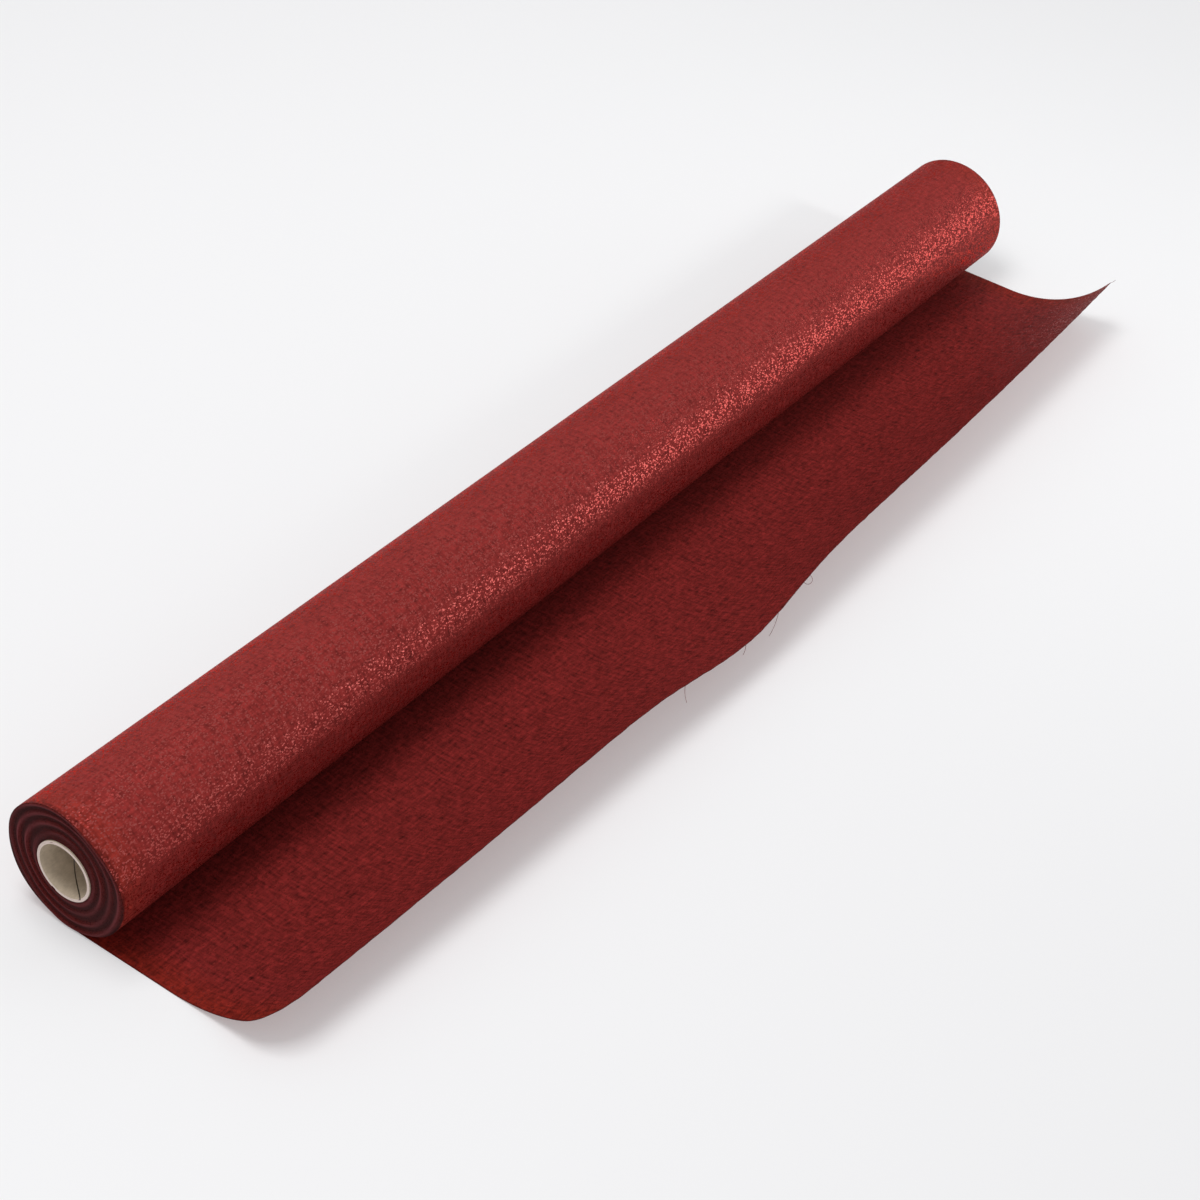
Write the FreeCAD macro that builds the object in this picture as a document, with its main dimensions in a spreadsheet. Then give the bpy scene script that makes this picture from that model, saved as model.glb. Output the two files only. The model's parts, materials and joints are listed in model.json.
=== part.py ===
"""A roll of woven decoration fabric on a spiral-wound paper core, lying on a flat surface.

The roll's axis is along X, with the near end at -X. The cloth leaves the roll at its lowest line, lies flat
towards -Y, and its cut edge curls up off the surface. The origin is on that surface, directly below the
middle of the roll's axis. All lengths are millimetres and all angles are degrees.
"""
import FreeCAD, Part
import math
import os

SIZES = {
    # The cloth: its woven width and the thickness of one wound layer.
    "cloth_width": 700.0,
    "cloth_layer": 0.26,
    # The roll as wound, and the slack between it and the cloth under it.
    "roll_radius": 31.0,
    "roll_slack": 0.1,
    # The paper core: a one inch bore inside three plies, standing proud of the cloth at both ends.
    "bore_radius": 12.7,
    "ply_thickness": 0.45,
    "core_proud": 1.0,
    # The tape that holds the first turn of cloth to the core.
    "tape_width": 12.0,
    "tape_thickness": 0.15,
    # The cloth leaving the roll: how far it hugs the back of the roll, and how far it reaches in front.
    "hug_angle": 20.0,
    "feed_reach": 12.0,
    # The flat stretch that lengthens as cloth is pulled off ends here, where the free end starts.
    "free_start": 30.0,
    # The free end: its reach along the cloth, from below the axis to the cut edge, at the sides and how much
    # further in the middle, where each side begins to curl up, and the radius of its rounded near corner.
    "side_length": 113.8,
    "middle_bow": 9.0,
    "near_curl_start": 54.4,
    "far_curl_start": 45.8,
    "near_corner": 20.0,
    # The height of the cut edge: halfway along it, what the far side adds and the near side lacks, what both
    # sides lack, and the dip.
    "edge_lift": 28.5,
    "edge_tilt": 3.8,
    "side_drop": 1.6,
    "dip_depth": 7.4,
    "dip_place": -37.4,
    "dip_spread": 51.3,
}
CORE_PLIES = ("core_inner_ply", "core_middle_ply", "core_outer_ply")
FREE_END_STATIONS = 29
# How far the block that rounds the near corner reaches past the cloth: beyond its edges, and above and below.
CORNER_MARGIN = 2.0
CORNER_CLEARANCE = 8.0
ALONG_X = FreeCAD.Rotation(FreeCAD.Vector(0, 1, 0), 90)
AXIS_HEIGHT = "Sizes.cloth_layer + Sizes.roll_slack + Sizes.roll_radius"
CORE_RADIUS = f"Sizes.bore_radius + {len(CORE_PLIES)} * Sizes.ply_thickness"


def make_sheet(doc):
    """Writes the driving sizes into a spreadsheet, one row each, with the size's name as the alias."""
    sheet = doc.addObject("Spreadsheet::Sheet", "Sizes")
    for row, (name, value) in enumerate(SIZES.items(), start=1):
        sheet.set(f"A{row}", name)
        sheet.set(f"B{row}", str(value))
        sheet.setAlias(f"B{row}", name)
    doc.recompute()
    return sheet


def bind(feature, **expressions):
    """Sets a feature's properties from the spreadsheet."""
    for name, expression in expressions.items():
        feature.setExpression(name, expression)


def place_on_axis(feature, length):
    """Lays a feature of that length along X, centred on the roll's axis."""
    feature.Placement = FreeCAD.Placement(FreeCAD.Vector(), ALONG_X)
    feature.setExpression("Placement.Base.x", f"-({length}) / 2")
    feature.setExpression("Placement.Base.z", AXIS_HEIGHT)


def add_cylinder(doc, name, radius, length, angle="360"):
    """Adds a cylinder, or a sector of one, on the roll's axis."""
    cylinder = doc.addObject("Part::Cylinder", name)
    bind(cylinder, Radius=radius, Height=length, Angle=angle)
    place_on_axis(cylinder, length)
    return cylinder


def add_cut(doc, name, base, tool):
    """Adds the base with the tool taken out of it."""
    cut = doc.addObject("Part::Cut", name)
    cut.Base = base
    cut.Tool = tool
    return cut


def add_ring(doc, name, inner_radius, outer_radius, length, angle="360"):
    """Adds a tube, or a sector of one, on the roll's axis."""
    outer = add_cylinder(doc, name + "_outside", outer_radius, length, angle)
    inner = add_cylinder(doc, name + "_inside", inner_radius, length, angle)
    return add_cut(doc, name, outer, inner)


def add_core_plies(doc):
    """The core's three paper plies, each wound on the one inside it."""
    length = "Sizes.cloth_width + 2 * Sizes.core_proud"
    plies = []
    for count, label in enumerate(CORE_PLIES):
        inner_radius = f"Sizes.bore_radius + {count} * Sizes.ply_thickness"
        outer_radius = f"Sizes.bore_radius + {count + 1} * Sizes.ply_thickness"
        plies.append(add_ring(doc, label, inner_radius, outer_radius, length))
    return plies


def add_start_tape(doc):
    """A strip of tape along the top of the core, under the first turn of cloth."""
    angle = f"Sizes.tape_width / ({CORE_RADIUS}) * 180 / pi"
    outer_radius = f"{CORE_RADIUS} + Sizes.tape_thickness"
    tape = add_ring(doc, "start_tape", CORE_RADIUS, outer_radius, "Sizes.cloth_width", angle)
    for sector in (tape.Base, tape.Tool):
        sector.Placement.Rotation = ALONG_X.multiply(FreeCAD.Rotation(FreeCAD.Vector(0, 0, 1), 180))
    return tape


def add_wound_fabric(doc, tape):
    """All the cloth on the core, as one hollow package with a recess for the tape."""
    package = add_ring(doc, "wound_package", CORE_RADIUS, "Sizes.roll_radius", "Sizes.cloth_width")
    return add_cut(doc, "wound_fabric", package, tape)


def add_flat_cloth(doc, name, start, end):
    """A flat stretch of cloth on the surface, the full width, between two distances in front of the axis."""
    cloth = doc.addObject("Part::Box", name)
    bind(cloth, Length="Sizes.cloth_width", Width=f"{end} - {start}", Height="Sizes.cloth_layer")
    cloth.setExpression("Placement.Base.x", "-Sizes.cloth_width / 2")
    cloth.setExpression("Placement.Base.y", f"-({end})")
    return cloth


def add_feed_web(doc):
    """The cloth where it leaves the roll: it hugs the back of the roll, then lies flat in front of it."""
    inner_radius = "Sizes.roll_radius + Sizes.roll_slack"
    outer_radius = f"{inner_radius} + Sizes.cloth_layer"
    hug = add_ring(doc, "feed_web_hug", inner_radius, outer_radius, "Sizes.cloth_width", "Sizes.hug_angle")
    flat = add_flat_cloth(doc, "feed_web_flat", "0", "Sizes.feed_reach")
    web = doc.addObject("Part::Fuse", "feed_web")
    web.Base = hug
    web.Tool = flat
    return web


def add_laid_web(doc):
    """The flat stretch between the roll and the free end, which lengthens as cloth is pulled off."""
    return add_flat_cloth(doc, "laid_web", "Sizes.feed_reach", "Sizes.free_start")


def edge_height(sheet, x):
    """The height of the cut edge above the surface at that place along the roll."""
    share = 2 * x / sheet.cloth_width
    dip = sheet.dip_depth * math.exp(-(((x - sheet.dip_place) / sheet.dip_spread) ** 2))
    return sheet.edge_lift + sheet.edge_tilt * share - sheet.side_drop * share**2 - dip


def curl_angle(arc_length, height):
    """The angle of the arc of that length which starts flat and ends at that height, in radians."""
    low, high = 0.001, math.pi / 2
    while high - low > 1e-9:
        middle = (low + high) / 2
        if arc_length * (1 - math.cos(middle)) / middle < height:
            low = middle
        else:
            high = middle
    return low


def free_end_curl(sheet, x):
    """At that place along the roll: where the free end starts to curl up, and its arc's radius and angle."""
    share = x / sheet.cloth_width + 0.5
    curl_start = sheet.near_curl_start + share * (sheet.far_curl_start - sheet.near_curl_start)
    free_length = sheet.side_length + sheet.middle_bow * 4 * share * (1 - share)
    arc_length = free_length - curl_start
    angle = curl_angle(arc_length, edge_height(sheet, x))
    return curl_start, arc_length / angle, angle


def free_end_section(sheet, x):
    """The outline of the free end at that place along the roll: flat, then curled up in one arc."""
    curl_start, radius, angle = free_end_curl(sheet, x)

    def flat_point(y, z):
        return FreeCAD.Vector(x, -y, z)

    def arc_point(turn, arc_radius):
        return flat_point(curl_start + arc_radius * math.sin(turn), radius - arc_radius * math.cos(turn))

    def arc(arc_radius):
        points = [arc_point(turn, arc_radius) for turn in (0, angle / 2, angle)]
        return Part.Arc(*points).toShape()

    inner_radius = radius - sheet.cloth_layer
    flat_end, top = sheet.free_start, sheet.cloth_layer
    edges = [
        Part.makeLine(flat_point(flat_end, 0), flat_point(curl_start, 0)),
        arc(radius),
        Part.makeLine(arc_point(angle, radius), arc_point(angle, inner_radius)),
        arc(inner_radius),
        Part.makeLine(flat_point(curl_start, top), flat_point(flat_end, top)),
        Part.makeLine(flat_point(flat_end, top), flat_point(flat_end, 0)),
    ]
    return Part.Wire(Part.__sortEdges__(edges))


def curled_point(sheet, x, from_edge):
    """The point of the free end's underside that far back along the cloth from its cut edge."""
    curl_start, radius, angle = free_end_curl(sheet, x)
    turn = angle - from_edge / radius
    return FreeCAD.Vector(x, -curl_start - radius * math.sin(turn), radius - radius * math.cos(turn))


def corner_waste(sheet):
    """What the rounded near corner lacks: a block square to the cloth there, with one side hollowed round."""
    near, round_radius = -sheet.cloth_width / 2, sheet.near_corner
    corner = curled_point(sheet, near, 0)
    along_edge = (curled_point(sheet, near + round_radius, 0) - corner).normalize()
    back = (curled_point(sheet, near, round_radius) - corner).normalize()
    half_angle = along_edge.getAngle(back) / 2
    inward = (along_edge + back).normalize()
    middle = corner + inward * (round_radius / math.sin(half_angle) - round_radius)
    on_edge = corner + along_edge * (round_radius / math.tan(half_angle))
    on_side = corner + back * (round_radius / math.tan(half_angle))
    outline = [
        on_edge,
        on_edge - back * CORNER_MARGIN,
        corner - (along_edge + back) * CORNER_MARGIN,
        on_side - along_edge * CORNER_MARGIN,
        on_side,
    ]
    lines = [Part.makeLine(*ends) for ends in zip(outline, outline[1:])]
    round_side = Part.Arc(on_side, middle, on_edge).toShape()
    face = Part.Face(Part.Wire(lines + [round_side]))
    upwards = along_edge.cross(back)
    face.translate(upwards * -CORNER_CLEARANCE)
    return face.extrude(upwards * 2 * CORNER_CLEARANCE)


def add_free_end(doc, sheet):
    """The end of the cloth: its cut edge curls up, with a dip left of the middle and a rounded near corner."""
    step = sheet.cloth_width / (FREE_END_STATIONS - 1)
    places = [-sheet.cloth_width / 2 + step * count for count in range(FREE_END_STATIONS)]
    sections = [free_end_section(sheet, x) for x in places]
    square_end = doc.addObject("Part::Feature", "free_end_square")
    square_end.Shape = Part.makeLoft(sections, True, False)
    waste = doc.addObject("Part::Feature", "free_end_corner")
    waste.Shape = corner_waste(sheet)
    return add_cut(doc, "free_end", square_end, waste)


def check_document(doc, parts):
    """Stops if any object failed, or if a sub-part is not one whole, valid solid."""
    for item in doc.Objects:
        if {"Invalid", "Error"} & set(item.State):
            raise RuntimeError(f"{item.Label} is {item.State}")
    for part in parts:
        if part.Shape.isNull() or not part.Shape.isValid() or len(part.Shape.Solids) != 1:
            raise RuntimeError(f"{part.Label} is not one valid solid")


def main():
    doc = FreeCAD.newDocument("fabric_bolt")
    sheet = make_sheet(doc)
    plies = add_core_plies(doc)
    tape = add_start_tape(doc)
    parts = plies + [
        tape,
        add_wound_fabric(doc, tape),
        add_feed_web(doc),
        add_laid_web(doc),
        add_free_end(doc, sheet),
    ]
    doc.recompute()
    check_document(doc, parts)
    os.makedirs("parts", exist_ok=True)
    for part in parts:
        part.Shape.exportStep(os.path.join("parts", part.Label + ".step"))
        box = part.Shape.BoundBox
        print(f"{part.Label}: {part.Shape.Volume:.0f} mm3, x {box.XMin:.2f} to {box.XMax:.2f}, "
              f"y {box.YMin:.2f} to {box.YMax:.2f}, z {box.ZMin:.2f} to {box.ZMax:.2f}")


main()
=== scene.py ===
import json
import math

import bpy
import numpy as np
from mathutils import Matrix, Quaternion, Vector, noise


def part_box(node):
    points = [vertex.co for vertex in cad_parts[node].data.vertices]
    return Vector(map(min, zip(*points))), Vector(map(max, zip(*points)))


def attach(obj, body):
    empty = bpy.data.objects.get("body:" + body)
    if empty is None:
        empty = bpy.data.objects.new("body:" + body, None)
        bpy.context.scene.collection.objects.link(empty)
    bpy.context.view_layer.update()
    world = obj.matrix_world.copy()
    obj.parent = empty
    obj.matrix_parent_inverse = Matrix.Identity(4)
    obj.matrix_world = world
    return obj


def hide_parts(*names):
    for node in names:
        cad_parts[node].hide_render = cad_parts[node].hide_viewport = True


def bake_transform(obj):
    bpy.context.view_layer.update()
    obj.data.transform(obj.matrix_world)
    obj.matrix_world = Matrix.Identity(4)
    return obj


# The looks of a roll of glittery woven fabric on a spiral-wound paper core. The roll's axis is along X, with
# the near end at -X. The cloth leaves the roll at its lowest line and lies flat towards -Y, where its cut
# edge curls up. Lengths are metres. An angle called turn goes round the roll's axis, from its lowest line up
# its back. An end is -1 for the near end of the roll and 1 for the far end.
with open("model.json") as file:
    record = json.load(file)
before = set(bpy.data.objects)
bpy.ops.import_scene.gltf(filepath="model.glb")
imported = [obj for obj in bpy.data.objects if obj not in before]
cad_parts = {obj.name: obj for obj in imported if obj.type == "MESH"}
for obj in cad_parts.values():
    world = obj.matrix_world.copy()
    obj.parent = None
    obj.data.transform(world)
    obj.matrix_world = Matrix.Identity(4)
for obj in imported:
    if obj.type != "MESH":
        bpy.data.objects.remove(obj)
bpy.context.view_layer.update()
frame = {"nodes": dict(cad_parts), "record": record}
MM = 0.001

# The roll and its core, as the frame has them.
BORE = next(mount for mount in frame["record"]["mounts"] if mount["name"] == "core_bore")
AXIS_HEIGHT = BORE["pos_m"][2]
BORE_RADIUS = BORE["dims"]["r_mm"] * MM
CORE_LENGTH = BORE["dims"]["length_mm"] * MM
HALF_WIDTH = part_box("wound_fabric")[1].x
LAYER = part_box("laid_web")[1].z
ROLL_SLACK = 0.1 * MM
ROLL_RADIUS = AXIS_HEIGHT - LAYER - ROLL_SLACK
PLY = 0.45 * MM
CORE_RADIUS = BORE_RADIUS + 3 * PLY

# The cloth's own thickness, less than the room that one wound layer takes.
CLOTH_THICKNESS = 0.2 * MM
HUG_ANGLE = math.radians(20)
FULL_TURN = 2 * math.pi

# The free end: its reach along the cloth, from below the axis to the cut edge, at the sides and how much
# further in the middle, and where each side begins to curl up. Its selvedges have drawn in a little, and its
# near corner is rounded.
SIDE_LENGTH = 113.8 * MM
MIDDLE_BOW = 9 * MM
NEAR_CURL_START = 54.4 * MM
FAR_CURL_START = 45.8 * MM
NEAR_EDGE = -349.5 * MM
FAR_EDGE = 347.8 * MM
NEAR_CORNER = 20 * MM
FAR_CORNER = 1.5 * MM

# The height of the cut edge: halfway along it, what the far side adds and the near side lacks, what both
# sides lack, and the dip.
EDGE_LIFT = 28.5 * MM
EDGE_TILT = 3.8 * MM
SIDE_DROP = 1.6 * MM
DIP_DEPTH = 7.4 * MM
DIP_PLACE = -37.4 * MM
DIP_SPREAD = 51.3 * MM


# ---------------------------------------------------------------- shapes

def wobble(seed, *place):
    """Smooth noise from about -1 to 1 at a place of one to three coordinates."""
    x, y, z = (list(place) + [0, 0])[:3]
    return noise.noise(Vector((x + 17.3 * seed, y - 9.1 * seed, z + 4.7 * seed)))


def wobble_grid(seed, x, turns, x_scale, turn_scale):
    """Smooth noise at a grid of places on the roll: a row of places along the axis for each turn."""
    across, up = turn_scale * np.cos(turns), turn_scale * np.sin(turns)
    return np.array([
        [wobble(seed, x_scale * place, *way) for place in row] for row, way in zip(x, zip(across, up))
    ])


def smooth_step(value, start, end):
    """0 before start, 1 after end, and smooth between them."""
    share = np.clip((value - start) / (end - start), 0, 1)
    return share * share * (3 - 2 * share)


def add_mesh(name, points, faces, materials, face_materials=None, smooth_angle=40):
    """A new mesh object, smooth where its faces meet at less than smooth_angle degrees."""
    mesh = bpy.data.meshes.new(name)
    mesh.from_pydata(np.asarray(points).tolist(), [], np.asarray(faces).tolist())
    for material in materials:
        mesh.materials.append(material)
    if face_materials is not None:
        mesh.polygons.foreach_set("material_index", face_materials)
    mesh.polygons.foreach_set("use_smooth", [True] * len(mesh.polygons))
    mesh.set_sharp_from_angle(angle=math.radians(smooth_angle))
    mesh.update()
    piece = bpy.data.objects.new(name, mesh)
    bpy.context.scene.collection.objects.link(piece)
    return piece


def thin_sheet(name, top, bottom, across, along, materials, **values):
    """A closed thin sheet between two grids of points.

    across and along give each column's and each row's place on the flat cloth, for its UV map. The materials
    are those of the top, the bottom and the edges. values are more numbers, one for each grid point."""
    rows, columns = top.shape[:2]
    count = rows * columns
    points = np.concatenate([top.reshape(-1, 3), bottom.reshape(-1, 3)])
    index = np.arange(count).reshape(rows, columns)
    corners = (index[:-1, :-1], index[:-1, 1:], index[1:, 1:], index[1:, :-1])
    upper = np.stack([corner.ravel() for corner in corners], axis=1)
    lower = upper[:, ::-1] + count
    rim = np.concatenate([index[0], index[1:, -1], index[-1, -2::-1], index[-2:0:-1, 0]])
    following = np.roll(rim, -1)
    sides = np.stack([following, rim, rim + count, following + count], axis=1)
    faces = np.concatenate([upper, lower, sides])
    first, second, fourth = (top[rows // 2 + a, columns // 2 + b] for a, b in ((0, 0), (0, 1), (1, 0)))
    outward = first - bottom[rows // 2, columns // 2]
    if np.dot(np.cross(second - first, fourth - first), outward) < 0:
        faces = faces[:, ::-1]
    face_materials = np.repeat([0, 1, 2], [len(upper), len(lower), len(sides)])
    piece = add_mesh(name, points, faces, materials, face_materials)
    mesh = piece.data

    flat = np.stack(np.broadcast_arrays(across, along), axis=-1).reshape(-1, 2)
    flat = np.concatenate([flat, flat])
    corner_points = np.zeros(len(mesh.loops), dtype=np.int32)
    mesh.loops.foreach_get("vertex_index", corner_points)
    mesh.uv_layers.new(name="cloth").data.foreach_set("uv", flat[corner_points].ravel())
    for label, numbers in values.items():
        numbers = np.broadcast_to(numbers, (rows, columns)).ravel()
        attribute = mesh.attributes.new(label, "FLOAT", "POINT")
        attribute.data.foreach_set("value", np.concatenate([numbers, numbers]).astype(np.float32))
    return piece


def on_roll(x, turn, radius):
    """Points on the roll, for arrays of places along the axis, turns and radii."""
    return np.stack(
        np.broadcast_arrays(x, radius * np.sin(turn), AXIS_HEIGHT - radius * np.cos(turn)), axis=-1
    )


# ---------------------------------------------------------------- materials

def add_node(tree, kind, inputs=None, **settings):
    """A new node with its settings, and its inputs linked or set. Gives back the node."""
    node = tree.nodes.new(kind)
    for name, value in settings.items():
        setattr(node, name, value)
    for key, value in (inputs or {}).items():
        if isinstance(value, bpy.types.NodeSocket):
            tree.links.new(value, node.inputs[key])
        else:
            node.inputs[key].default_value = value
    return node


def calculate(tree, operation, *values):
    """The result of a Math node."""
    return add_node(tree, "ShaderNodeMath", dict(enumerate(values)), operation=operation).outputs[0]


def mix_colours(tree, share, first, second):
    """The first colour at share 0 and the second at share 1."""
    inputs = {"Factor": share, 6: first, 7: second}
    return add_node(tree, "ShaderNodeMix", inputs, data_type="RGBA").outputs[2]


def stretch(tree, vector, *scales):
    """The vector, multiplied in each direction."""
    inputs = {0: vector, 1: scales}
    return add_node(tree, "ShaderNodeVectorMath", inputs, operation="MULTIPLY").outputs[0]


def noise_at(tree, vector, detail=2.0, roughness=0.5):
    """Noise from 0 to 1, with features about one unit across."""
    inputs = {"Vector": vector, "Scale": 1.0, "Detail": detail, "Roughness": roughness}
    return add_node(tree, "ShaderNodeTexNoise", inputs).outputs["Fac"]


def map_range(tree, value, low, high, result_low, result_high):
    """The value, moved from one range into another and kept inside it."""
    inputs = {"Value": value, "From Min": low, "From Max": high, "To Min": result_low, "To Max": result_high}
    return add_node(tree, "ShaderNodeMapRange", inputs).outputs[0]


def new_material(name, **constants):
    """A material, its node tree and its Principled shader with those constants set on it."""
    material = bpy.data.materials.new(name)
    material.use_nodes = True
    tree = material.node_tree
    shader = next(node for node in tree.nodes if node.type == "BSDF_PRINCIPLED")
    for label, value in constants.items():
        shader.inputs[label.replace("_", " ")].default_value = value
    return material, tree, shader


def cloth_place(tree, lies_flat):
    """The place on the cloth in millimetres: X across it and Y along it.

    Where the cloth lies flat, its place comes from where it lies, so that the weave keeps its scale when more
    cloth is drawn off the roll. Its lead is what the curl takes up."""
    if lies_flat:
        place = add_node(tree, "ShaderNodeTexCoord").outputs["Object"]
        axes = add_node(tree, "ShaderNodeSeparateXYZ", {0: place}).outputs
        lead = add_node(tree, "ShaderNodeAttribute", attribute_name="lead").outputs["Fac"]
        along = calculate(tree, "SUBTRACT", lead, axes["Y"])
        place = add_node(tree, "ShaderNodeCombineXYZ", {0: axes["X"], 1: along}).outputs[0]
    else:
        place = add_node(tree, "ShaderNodeUVMap", uv_map="cloth").outputs[0]
    return stretch(tree, place, 1 / MM, 1 / MM, 1 / MM)


# The metallic flecks: their size in millimetres, how far they lean, and how rough they are.
FLECK_WIDTH = 0.75
FLECK_LENGTH = 0.5
FLECK_LEAN = 0.24
FLECK_ROUGHNESS = 0.25


# The unevenness of the weave and of its dye, layer by layer: the strength, the size across and along the
# cloth in millimetres, and the detail.
WEAVE_LAYERS = (
    (0.62, 1.2, 9.0, 2.0),
    (0.52, 10.0, 1.1, 2.0),
    (0.70, 2.8, 2.2, 3.0),
    (0.12, 40.0, 30.0, 1.0),
)

# From the selvedge inwards, in millimetres: where its dark line fades out, and where its warmer dye does.
DARK_LINE = (0.6, 1.4)
WARM_BAND = (4.0, 18.0)


def cloth_material(name, lies_flat, colour, warm_colour, contrast, metals, glitter_share, metal):
    """Woven cloth with metallic flecks: threads both ways, uneven dye, and a warmer band by each selvedge.

    contrast is that of the weave, metals are the colours of the darkest and the palest flecks, and metal is
    how metallic they are."""
    material, tree, shader = new_material(
        name, Specular_IOR_Level=0.25, Specular_Tint=(1.0, 0.25, 0.22, 1.0)
    )
    place = cloth_place(tree, lies_flat)
    axes = add_node(tree, "ShaderNodeSeparateXYZ", {0: place}).outputs
    tone = 1.0
    for strength, width, length, detail in WEAVE_LAYERS:
        pattern = noise_at(tree, stretch(tree, place, 1 / width, 1 / length, 1.0), detail)
        change = calculate(tree, "MULTIPLY", calculate(tree, "SUBTRACT", pattern, 0.5), strength * contrast)
        tone = calculate(tree, "ADD", change, tone)

    # The selvedges: a dark line at the very edge, and a warmer dye beside it.
    from_edge = calculate(tree, "SUBTRACT", HALF_WIDTH / MM, calculate(tree, "ABSOLUTE", axes["X"]))
    warm = map_range(tree, from_edge, *WARM_BAND, 1.0, 0.0)
    dark = map_range(tree, from_edge, *DARK_LINE, 0.6, 1.0)
    dyed = mix_colours(tree, warm, colour, warm_colour)
    tone = calculate(tree, "MULTIPLY", tone, dark)
    woven = add_node(tree, "ShaderNodeVectorMath", {0: dyed, "Scale": tone}, operation="SCALE").outputs[0]

    # Metallic flecks, longer across the cloth than along it: flat mirrors that each lean their own way.
    cell_place = stretch(tree, place, 1 / FLECK_WIDTH, 1 / FLECK_LENGTH, 1.0)
    cell_inputs = {"Vector": cell_place, "Scale": 1.0}
    cells = add_node(tree, "ShaderNodeTexVoronoi", cell_inputs, voronoi_dimensions="2D").outputs["Color"]
    chances = add_node(tree, "ShaderNodeSeparateXYZ", {0: cells}).outputs
    paleness = calculate(tree, "POWER", chances["X"], 2.0)
    fleck = calculate(tree, "GREATER_THAN", chances["Z"], 1 - glitter_share)
    shine = calculate(tree, "MULTIPLY", fleck, metal)
    lean = add_node(tree, "ShaderNodeVectorMath", {0: cells, 1: (0.5, 0.5, 0.5)}, operation="SUBTRACT")
    lean = stretch(tree, lean.outputs[0], FLECK_LEAN, FLECK_LEAN, FLECK_LEAN)
    normal = add_node(tree, "ShaderNodeNewGeometry").outputs["Normal"]
    leaning = add_node(tree, "ShaderNodeVectorMath", {0: normal, 1: lean}, operation="ADD").outputs[0]
    leaning = add_node(tree, "ShaderNodeVectorMath", {0: leaning}, operation="NORMALIZE").outputs[0]

    # The weave itself: two sets of threads 0.5 mm apart.
    waves = [calculate(tree, "MULTIPLY", axes[axis], FULL_TURN) for axis in "XY"]
    weave = calculate(tree, "MULTIPLY", *[calculate(tree, "SINE", wave) for wave in waves])
    height = calculate(tree, "ADD", weave, calculate(tree, "MULTIPLY", tone, 2.0))
    relief = {"Strength": 0.3, "Distance": 0.05 * MM, "Height": height}
    bumped = add_node(tree, "ShaderNodeBump", relief).outputs[0]

    facing = {"Factor": fleck, 4: bumped, 5: leaning}
    surface = add_node(tree, "ShaderNodeMix", facing, data_type="VECTOR").outputs[1]
    rough = map_range(tree, fleck, 0, 1, 0.75, FLECK_ROUGHNESS)
    glitter = mix_colours(tree, paleness, *metals)
    for label, value in (
        ("Base Color", mix_colours(tree, fleck, woven, glitter)),
        ("Metallic", shine),
        ("Roughness", rough),
        ("Normal", surface),
    ):
        tree.links.new(value, shader.inputs[label])
    return material


def edge_material():
    """The cut and woven edges of the cloth: painted shade between the layers, and a painted highlight
    where they stand out and fray.
    """
    material, tree, shader = new_material("cloth_edge", Roughness=0.9, Specular_IOR_Level=0.2)
    place = cloth_place(tree, lies_flat=False)
    frayed = add_node(tree, "ShaderNodeAttribute", attribute_name="frayed").outputs["Fac"]
    uneven = noise_at(tree, stretch(tree, place, 1.0, 1 / 3.0, 1.0), detail=3.0)
    share = calculate(tree, "MULTIPLY", frayed, calculate(tree, "ADD", uneven, 0.4))
    # Painted shade: the darker colour, between the layers. Painted highlight: the paler one, where they stand
    # out.
    colour = mix_colours(tree, share, (0.038, 0.0045, 0.0048, 1.0), (0.165, 0.028, 0.032, 1.0))
    tree.links.new(colour, shader.inputs["Base Color"])
    return material


def paper_material(name, colour, dark_colour):
    """Grey board: mottled pulp with short fibres."""
    material, tree, shader = new_material(name, Roughness=0.9, Specular_IOR_Level=0.25)
    place = stretch(tree, add_node(tree, "ShaderNodeTexCoord").outputs["Object"], 1 / MM, 1 / MM, 1 / MM)
    mottle = noise_at(tree, stretch(tree, place, 0.35, 0.35, 0.35), detail=5.0, roughness=0.65)
    fibre = noise_at(tree, stretch(tree, place, 0.5, 2.5, 2.5), detail=3.0)
    fibres = calculate(tree, "MULTIPLY", fibre, 0.5)
    share = calculate(tree, "SUBTRACT", calculate(tree, "MULTIPLY_ADD", mottle, 0.9, fibres), 0.2)
    tree.links.new(mix_colours(tree, share, dark_colour, colour), shader.inputs["Base Color"])
    bump = add_node(tree, "ShaderNodeBump", {"Strength": 0.4, "Distance": 0.05 * MM, "Height": fibre})
    tree.links.new(bump.outputs[0], shader.inputs["Normal"])
    return material


# The glittery face of the cloth, which is outwards on the roll, and its duller face.
OUTER_LOOK = {
    "colour": (0.213, 0.0218, 0.0196, 1),
    "warm_colour": (0.224, 0.0220, 0.0160, 1),
    "contrast": 1.8,
    "metals": ((0.46, 0.070, 0.062, 1), (0.50, 0.115, 0.102, 1)),
    "glitter_share": 0.24,
    "metal": 0.95,
}
INNER_LOOK = {
    "colour": (0.145, 0.0122, 0.0112, 1),
    "warm_colour": (0.160, 0.0120, 0.0070, 1),
    "contrast": 2.4,
    "metals": ((0.20, 0.022, 0.018, 1), (0.22, 0.030, 0.025, 1)),
    "glitter_share": 0.10,
    "metal": 0.5,
}
OUTSIDE = cloth_material("cloth_outside", lies_flat=False, **OUTER_LOOK)
UNDERSIDE = cloth_material("cloth_underside", lies_flat=True, **OUTER_LOOK)
INSIDE = cloth_material("cloth_inside", lies_flat=True, **INNER_LOOK)
EDGE = edge_material()
BORE_PAPER = paper_material("bore_paper", (0.78, 0.66, 0.52, 1), (0.42, 0.34, 0.24, 1))
CUT_PAPER = paper_material("cut_paper", (0.82, 0.68, 0.62, 1), (0.62, 0.50, 0.44, 1))
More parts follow.
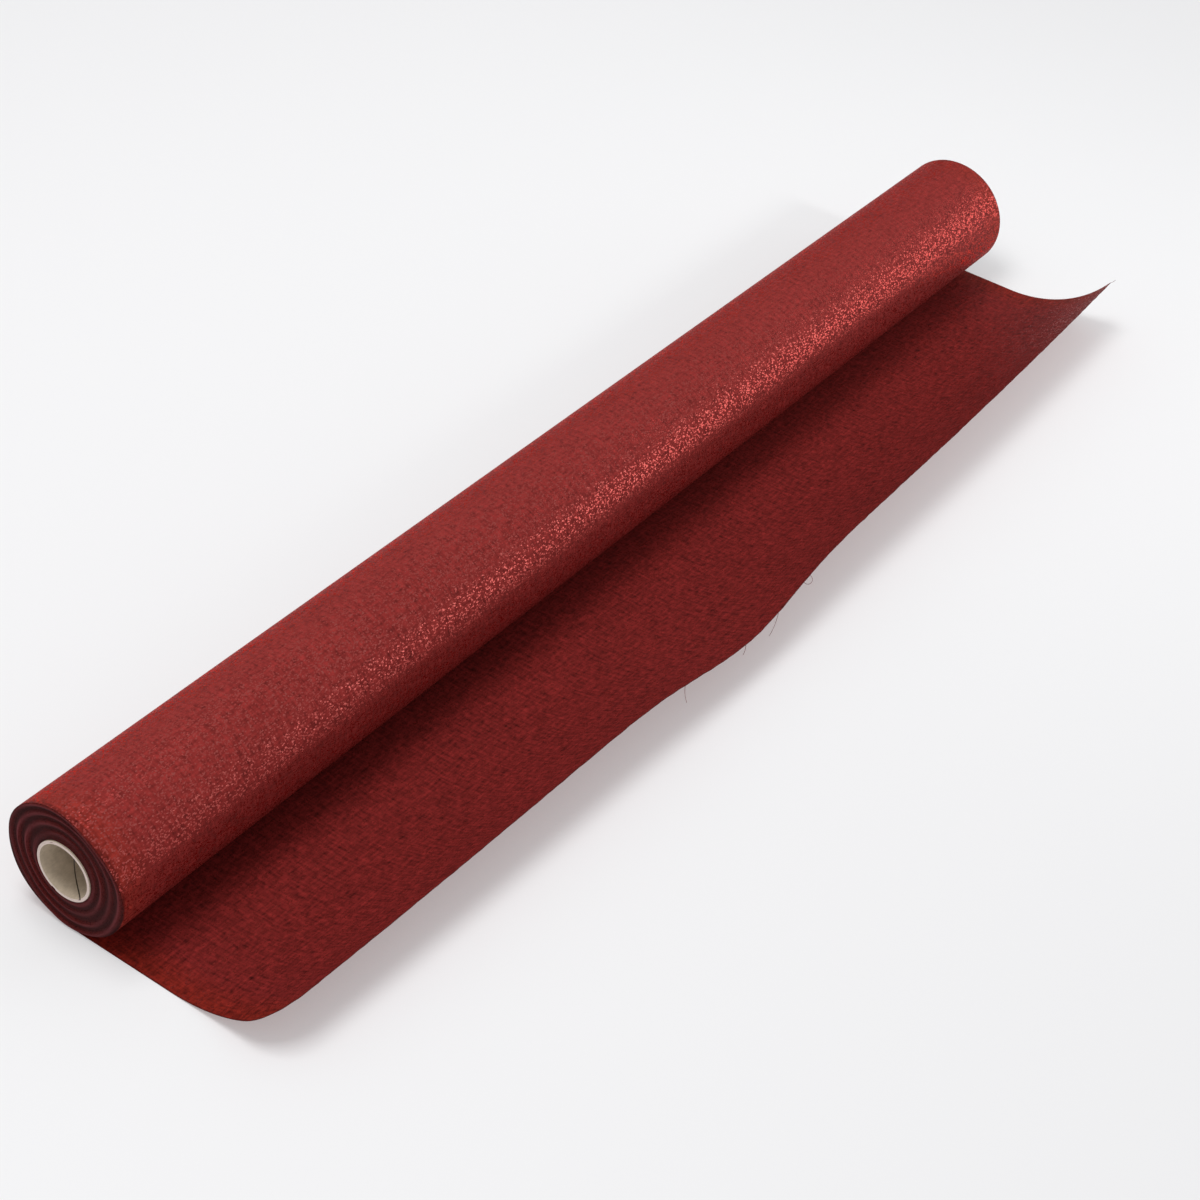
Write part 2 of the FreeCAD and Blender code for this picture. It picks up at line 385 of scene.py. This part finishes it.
# The middle ply's inner face, seen only down the inner ply's seam: dark with glue and with painted shade.
SEAM_GLUE_AND_SHADE = paper_material("glued_paper", (0.14, 0.11, 0.08, 1), (0.07, 0.055, 0.04, 1))
TAPE_PAPER = paper_material("tape_paper", (0.75, 0.70, 0.58, 1), (0.62, 0.56, 0.44, 1))


# ---------------------------------------------------------------- the wound cloth

RIDGE_SPACING = 4.2 * MM
RIDGE_HEIGHT = 1.1 * MM
NEAR_BULGE = 2.0 * MM
NEAR_BULGE_TURN = math.radians(210)
NEAR_BULGE_SPREAD = math.radians(38)
NEAR_BULGE_DEPTH = 3.0 * MM


def ridge(turn, radius, end):
    """How much a layer stands out at the roll's end, from 0 to 1: a few uneven ridges round the core."""
    way = (math.cos(turn), math.sin(turn))
    drift = 0.55 * wobble(end + 2, 0.8 * way[0], 0.8 * way[1], 0.2 * radius / RIDGE_SPACING)
    wave = 0.5 + 0.5 * math.cos(FULL_TURN * (radius / RIDGE_SPACING + drift))
    strength = 0.65 + 0.5 * wobble(end + 5, way[0], way[1], 0.7 * radius / RIDGE_SPACING)
    return max(0.0, min(1.0, strength)) * wave**1.5


def layer_edge(turn, radius, end):
    """How far a layer's edge lies from the middle of the roll, and how strong a painted highlight it gets."""
    stands_out = ridge(turn, radius, end)
    clear_of_core = float(smooth_step(radius, CORE_RADIUS, CORE_RADIUS + 5 * MM))
    shift = RIDGE_HEIGHT * (0.45 + (stands_out - 0.8) * clear_of_core)
    shift += 0.10 * MM * wobble(end + 9, 3 * turn, 1.0)
    if end < 0:
        off_centre = (turn - NEAR_BULGE_TURN + math.pi) % FULL_TURN - math.pi
        depth = math.exp(-(((ROLL_RADIUS - radius) / NEAR_BULGE_DEPTH) ** 2))
        shift += NEAR_BULGE * depth * math.exp(-((off_centre / NEAR_BULGE_SPREAD) ** 2))
    return HALF_WIDTH + shift, stands_out


def roll_sheet(name, turns, columns, radii, thickness, dent=None):
    """A stretch of cloth wound on the roll. radii are those of its outer face, one for each turn in turns."""
    edges = {end: np.array([layer_edge(*place, end) for place in zip(turns, radii)]) for end in (-1, 1)}
    share = np.linspace(0, 1, columns)
    near, far = -edges[-1][:, :1], edges[1][:, :1]
    x = near + (far - near) * share
    # How strong the painted highlight on each layer's edge is, taken from the nearer end of the roll.
    frayed = np.where(share < 0.5, edges[-1][:, 1:], edges[1][:, 1:])
    outer = radii[:, None] + np.zeros_like(x)
    if dent is not None:
        outer = outer - dent(x, turns)
    inner = (radii - thickness)[:, None] + np.zeros_like(x)
    along = -np.cumsum(np.concatenate([[0], np.diff(turns) * radii[1:]]))[:, None]
    top = on_roll(x, turns[:, None], outer)
    bottom = on_roll(x, turns[:, None], inner)
    return thin_sheet(name, top, bottom, x, along, (OUTSIDE, OUTSIDE, EDGE), frayed=frayed)


OUTER_TURN_START = math.radians(4)
FEATHER_ANGLE = math.radians(50)


def add_outer_turn():
    """The outermost turn. It thins out at its start, where the free cloth takes over from it."""
    turns = np.linspace(OUTER_TURN_START, OUTER_TURN_START + FULL_TURN, 181)
    into_turn = turns - OUTER_TURN_START
    radii = ROLL_RADIUS - LAYER * (1 - smooth_step(into_turn, 0, FEATHER_ANGLE))
    radii = radii - LAYER * smooth_step(into_turn, FULL_TURN - FEATHER_ANGLE, FULL_TURN)
    inner = ROLL_RADIUS - CLOTH_THICKNESS - 0.06 * MM * smooth_step(into_turn, 0, FULL_TURN)
    thickness = np.maximum(radii - inner, 0.02 * MM)

    def dent(x, turns):
        """Shallow unevenness of the winding, none of it outwards."""
        broad = wobble_grid(3, x, turns, 14, 1.3)
        fine = wobble_grid(4, x, turns, 45, 5)
        return 0.05 * MM * (1 + np.clip(broad + 0.35 * fine, -1, 1))

    piece = roll_sheet("outer_turn", turns, 201, radii, thickness, dent)
    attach(piece, "roll")


def add_wound_cloth():
    """All the turns under the outermost one, as one long strip in a true spiral."""
    first = OUTER_TURN_START + FULL_TURN
    turn_count = math.floor((ROLL_RADIUS - CORE_RADIUS) / LAYER) - 2
    steps = 72
    turns = first + np.linspace(0, FULL_TURN * turn_count, steps * turn_count + 1)
    radii = ROLL_RADIUS - LAYER * (turns - OUTER_TURN_START) / FULL_TURN
    thickness = np.full_like(radii, CLOTH_THICKNESS)
    piece = roll_sheet("wound_cloth", turns, 3, radii, thickness)
    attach(piece, "roll")
    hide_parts("wound_fabric")


# ---------------------------------------------------------------- the free cloth

def edge_height(x):
    """The height of the cut edge above the surface at that place along the roll."""
    share = x / HALF_WIDTH
    dip = DIP_DEPTH * math.exp(-(((x - DIP_PLACE) / DIP_SPREAD) ** 2))
    return EDGE_LIFT + EDGE_TILT * share - SIDE_DROP * share**2 - dip


def curl_start(x):
    """Where the cloth begins to curl up, along it from below the axis."""
    return NEAR_CURL_START + (FAR_CURL_START - NEAR_CURL_START) * (0.5 + 0.5 * x / HALF_WIDTH)


def free_length(x):
    """How far the cloth would reach along itself at x, if its corners were square."""
    return SIDE_LENGTH + MIDDLE_BOW * (1 - (x / HALF_WIDTH) ** 2)


def corner_cut(x):
    """How much shorter the cloth is at x, where its corners are rounded."""
    cut = 0.0
    for radius, from_edge in ((NEAR_CORNER, x - NEAR_EDGE), (FAR_CORNER, FAR_EDGE - x)):
        inward = max(0.0, radius - from_edge)
        cut += radius - math.sqrt(radius**2 - inward**2)
    return cut


def curl_angle(arc_length, height):
    """The angle of the arc of that length which starts flat and ends at that height."""
    low, high = 0.001, math.pi / 2
    while high - low > 1e-9:
        middle = (low + high) / 2
        if arc_length * (1 - math.cos(middle)) / middle < height:
            low = middle
        else:
            high = middle
    return low


def free_section(x, distances, depth):
    """The free cloth's line at x, at each distance along the cloth, that depth above its underside.

    Negative distances are up the back of the roll. Past them the cloth lies flat, then curls up in an arc."""
    start = curl_start(x)
    arc_length = free_length(x) - start
    radius = arc_length / curl_angle(arc_length, edge_height(x))
    curl = np.maximum(distances - start, 0) / radius
    y = -np.clip(distances, 0, start) - (radius - depth) * np.sin(curl)
    z = radius - (radius - depth) * np.cos(curl)
    hug = np.maximum(-distances, 0) / ROLL_RADIUS
    hug_radius = ROLL_RADIUS + ROLL_SLACK + LAYER - depth
    on_back = distances < 0
    y = np.where(on_back, hug_radius * np.sin(hug), y)
    z = np.where(on_back, AXIS_HEIGHT - hug_radius * np.cos(hug), z)
    return np.stack([np.full_like(y, x), y, z], axis=-1)


def add_free_cloth():
    """The cloth off the roll: it hugs the back, lies flat in front, and its cut edge curls up."""
    hug = np.linspace(-HUG_ANGLE * ROLL_RADIUS, 0, 8)[:-1]
    rounding = NEAR_EDGE + NEAR_CORNER * (1 - np.cos(np.linspace(0, math.pi / 2, 20)))[:-1]
    places = np.concatenate([rounding, np.linspace(NEAR_EDGE + NEAR_CORNER, FAR_EDGE, 345)])
    lengths = np.array([free_length(x) - corner_cut(x) for x in places])
    laid = np.linspace(0, 1, 67)[:, None] * lengths
    distances = np.concatenate([np.repeat(hug[:, None], len(places), axis=1), laid])
    depths = LAYER * (0.1 + 0.9 * smooth_step(distances, hug[0], 0))
    top = np.stack([free_section(x, distances[:, n], LAYER) for n, x in enumerate(places)], axis=1)
    bottom = np.stack(
        [free_section(x, distances[:, n], LAYER - depths[:, n]) for n, x in enumerate(places)], axis=1
    )

    # Slow unevenness of cloth that lies loose, none of it into the surface below.
    amounts = 0.35 * MM * smooth_step(distances, 15 * MM, 50 * MM)
    for (row, column), amount in np.ndenumerate(amounts):
        x, distance = places[column], distances[row, column]
        unevenness = 0.6 + wobble(11, 9 * x, 14 * distance) + 0.4 * wobble(12, 28 * x, 30 * distance)
        for side in (top, bottom):
            side[row, column, 2] += max(0.0, amount * unevenness)
    fringe = np.array([0.25 * MM * wobble(13, 220 * x) for x in places])
    for side in (top, bottom):
        side[-1, :, 1] += fringe
    lead = distances + bottom[:, :, 1]
    materials = (INSIDE, UNDERSIDE, EDGE)
    # The free cloth's edges all get the same middling painted highlight.
    piece = thin_sheet("free_cloth", top, bottom, places, distances, materials, lead=lead, frayed=0.35)
    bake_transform(piece)
    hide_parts("feed_web", "laid_web", "free_end")


def tube(points, radius, sides=6):
    """Rings of points and faces for a thin tube along a line, closed at both ends."""
    points = [Vector(point) for point in points]
    rings, faces = [], []
    for number, point in enumerate(points):
        ahead = points[min(number + 1, len(points) - 1)] - points[max(number - 1, 0)]
        side = ahead.cross(Vector((0.3, 0.2, 1.0))).normalized()
        up = side.cross(ahead).normalized()
        slim = 0.5 if number in (0, len(points) - 1) else 1.0
        for count in range(sides):
            angle = FULL_TURN * count / sides
            rings.append(point + (side * math.cos(angle) + up * math.sin(angle)) * radius * slim)
    for number in range(len(points) - 1):
        for count in range(sides):
            after = (count + 1) % sides
            low, high = number * sides, (number + 1) * sides
            faces.append([low + count, low + after, high + after, high + count])
    last = (len(points) - 1) * sides
    caps = [list(range(sides))[::-1], [last + count for count in range(sides)]]
    return rings, faces, caps


# Threads drawn out of the cut edge: the place along it, the length, which way each leans (X, Y, Z) and how
# far it curls, as an angle about CURL_AXIS.
CURL_AXIS = (-0.67, -0.41, 0.62)
THREAD_RADIUS = 0.11 * MM
THREAD_STEPS = 16
THREADS = (
    (15 * MM, 10 * MM, (0.44, -0.93, -0.14), -4.6),
    (-14 * MM, 12 * MM, (-0.75, -0.35, -0.8), -0.35),
    (-42 * MM, 5 * MM, (-0.5, -0.5, -0.8), -0.6),
    (-88 * MM, 8 * MM, (-0.8, -0.4, -0.7), 0.5),
    (347 * MM, 3 * MM, (0.3, -0.8, 0.4), 0.7),
)


def add_loose_threads():
    """The few threads that hang out of the cut edge, each one bending as it goes."""
    material, _, _ = new_material("loose_thread", Base_Color=(0.16, 0.035, 0.035, 1), Roughness=0.6)
    points, faces, cap_faces = [], [], []
    for x, length, lean, curl in THREADS:
        reach = free_length(x) - corner_cut(x) - 0.4 * MM
        start = Vector(free_section(x, np.array([reach]), LAYER / 2)[0])
        heading = Vector(lean).normalized()
        step = length / THREAD_STEPS
        line = [start]
        for _ in range(THREAD_STEPS):
            heading = (Quaternion(CURL_AXIS, curl / THREAD_STEPS) @ heading).normalized()
            onward = line[-1] + heading * step
            onward.z = max(onward.z, 0.2 * MM)
            line.append(onward)
        rings, sides, caps = tube(line, THREAD_RADIUS)
        faces += [[corner + len(points) for corner in face] for face in sides]
        cap_faces += [[corner + len(points) for corner in face] for face in caps]
        points += rings
    mesh = bpy.data.meshes.new("loose_threads")
    mesh.from_pydata(points, [], faces + cap_faces)
    mesh.polygons.foreach_set("use_smooth", [True] * len(mesh.polygons))
    mesh.materials.append(material)
    piece = bpy.data.objects.new("loose_threads", mesh)
    bpy.context.scene.collection.objects.link(piece)
    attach(piece, "free_end")


# ---------------------------------------------------------------- the core

PLY_PITCH = 61 * MM
PLY_FIRST_TURNS = (316, 150, 20)
SEAM_GAP = 0.7 * MM


def add_ply(name, node, number, materials):
    """One paper ply of the core: a strip wound in a helix, its turns butted at a thin seam."""
    inner_radius = BORE_RADIUS + number * PLY
    half_length = CORE_LENGTH / 2
    first_turn = math.radians(PLY_FIRST_TURNS[number])
    turn_count = CORE_LENGTH / PLY_PITCH + 1
    steps = 80
    turns = np.linspace(0, FULL_TURN * turn_count, round(steps * turn_count))
    start = -half_length + PLY_PITCH * (turns / FULL_TURN - 1)
    end = start + PLY_PITCH - SEAM_GAP
    start, end = np.clip(start, -half_length, half_length), np.clip(end, -half_length, half_length)
    used = end - start > 0.1 * MM
    turns, start, end = turns[used], start[used], end[used]
    share = np.linspace(0, 1, 7)
    x = start[:, None] + (end - start)[:, None] * share
    angle = first_turn + turns[:, None]
    dent = wobble_grid(20 + number, x, first_turn + turns, 60, 2)
    outer = inner_radius + PLY - 0.02 * MM
    inner = inner_radius + 0.04 * MM * dent
    along = (turns * inner_radius)[:, None]
    piece = thin_sheet(name, on_roll(x, angle, outer), on_roll(x, angle, inner), x, along, materials)
    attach(piece, "roll")
    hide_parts(node)
    return piece


def add_core():
    """The three plies of the core. Their cut rims are pale. The innermost one lines the bore. The middle one
    shows in its seam, dark with glue and with painted shade."""
    inner = add_ply("core_ply_inner", "core_inner_ply", 0, (CUT_PAPER, BORE_PAPER, CUT_PAPER))
    middle = add_ply("core_ply_middle", "core_middle_ply", 1, (CUT_PAPER, SEAM_GLUE_AND_SHADE, CUT_PAPER))
    outer = add_ply("core_ply_outer", "core_outer_ply", 2, (BORE_PAPER, BORE_PAPER, CUT_PAPER))
    tape = frame["nodes"]["start_tape"]
    for slot in tape.material_slots:
        slot.material = TAPE_PAPER


# ---------------------------------------------------------------- the studio

def add_floor():
    """A plain pale floor, level with the surface that the roll lies on and lit a little from below."""
    material, _, _ = new_material(
        "floor", Base_Color=(0.60, 0.60, 0.605, 1), Roughness=0.6, Specular_IOR_Level=0.2,
        Emission_Color=(1.0, 1.0, 1.0, 1), Emission_Strength=0.275,
    )
    reach = 12.0
    corners = [(-reach, -reach, 0), (reach, -reach, 0), (reach, reach, 0), (-reach, reach, 0)]
    floor = add_mesh("floor", corners, [(0, 1, 2, 3)], [material])


def add_softbox(name, place, aim, size, power, spread=180):
    """A rectangular light that faces its aim. spread is the width of its beam in degrees."""
    light = bpy.data.lights.new(name, "AREA")
    light.shape = "RECTANGLE"
    light.size, light.size_y = size
    light.energy = power
    light.spread = math.radians(spread)
    lamp = bpy.data.objects.new(name, light)
    lamp.location = place
    lamp.rotation_mode = "QUATERNION"
    lamp.rotation_quaternion = (Vector(aim) - Vector(place)).to_track_quat("-Z", "Y")
    lamp.visible_camera = False
    bpy.context.scene.collection.objects.link(lamp)


def add_lights():
    """Soft light from overhead, a little behind the roll and towards its near end. In front are a low softbox
    at the far end, which the metallic flecks mirror, a weak narrow beam at the far end of the roll, which
    shadows the floor behind it, and a faint fill. The surroundings are pale."""
    add_softbox("overhead", place=(-0.40, 0.26, 1.6), aim=(-0.1, 0, 0), size=(0.9, 0.6), power=14.8)
    add_softbox("far_front", place=(1.35, -0.80, 0.36), aim=(0, 0, 0.03), size=(1.1, 0.6), power=3.6)
    add_softbox(
        "front_beam", place=(0.42, -1.45, 1.05), aim=(0.40, 0.08, 0), size=(0.25, 0.25), power=0.28, spread=35
    )
    add_softbox("front_fill", place=(-0.3, -1.8, 0.4), aim=(0, -0.1, 0), size=(2.6, 0.5), power=1.0)
    world = bpy.data.worlds.new("surroundings")
    world.use_nodes = True
    background = world.node_tree.nodes["Background"]
    background.inputs["Color"].default_value = (0.98, 0.98, 1.0, 1)
    background.inputs["Strength"].default_value = 0.54
    bpy.context.scene.world = world
    bpy.context.scene.view_settings.view_transform = "Standard"


def add_camera():
    """The camera, above and in front of the near end, and rolled a little about its own line of sight."""
    azimuth, elevation, roll = math.radians(-58.35), math.radians(38.37), math.radians(6.585)
    aim = Vector((-0.0383, -0.0364, 0))
    distance = 1.2329
    away = Vector((
        math.sin(azimuth) * math.cos(elevation), -math.cos(azimuth) * math.cos(elevation), math.sin(elevation)
    ))
    lens = bpy.data.cameras.new("camera")
    lens.sensor_width = 36
    lens.lens = 78.75
    camera = bpy.data.objects.new("camera", lens)
    camera.location = aim + away * distance
    camera.rotation_mode = "QUATERNION"
    camera.rotation_quaternion = (-away).to_track_quat("-Z", "Y") @ Quaternion((0, 0, 1), roll)
    bpy.context.scene.collection.objects.link(camera)
    bpy.context.scene.camera = camera


add_camera()
add_lights()
add_floor()
add_core()
add_wound_cloth()
add_outer_turn()
add_loose_threads()
add_free_cloth()
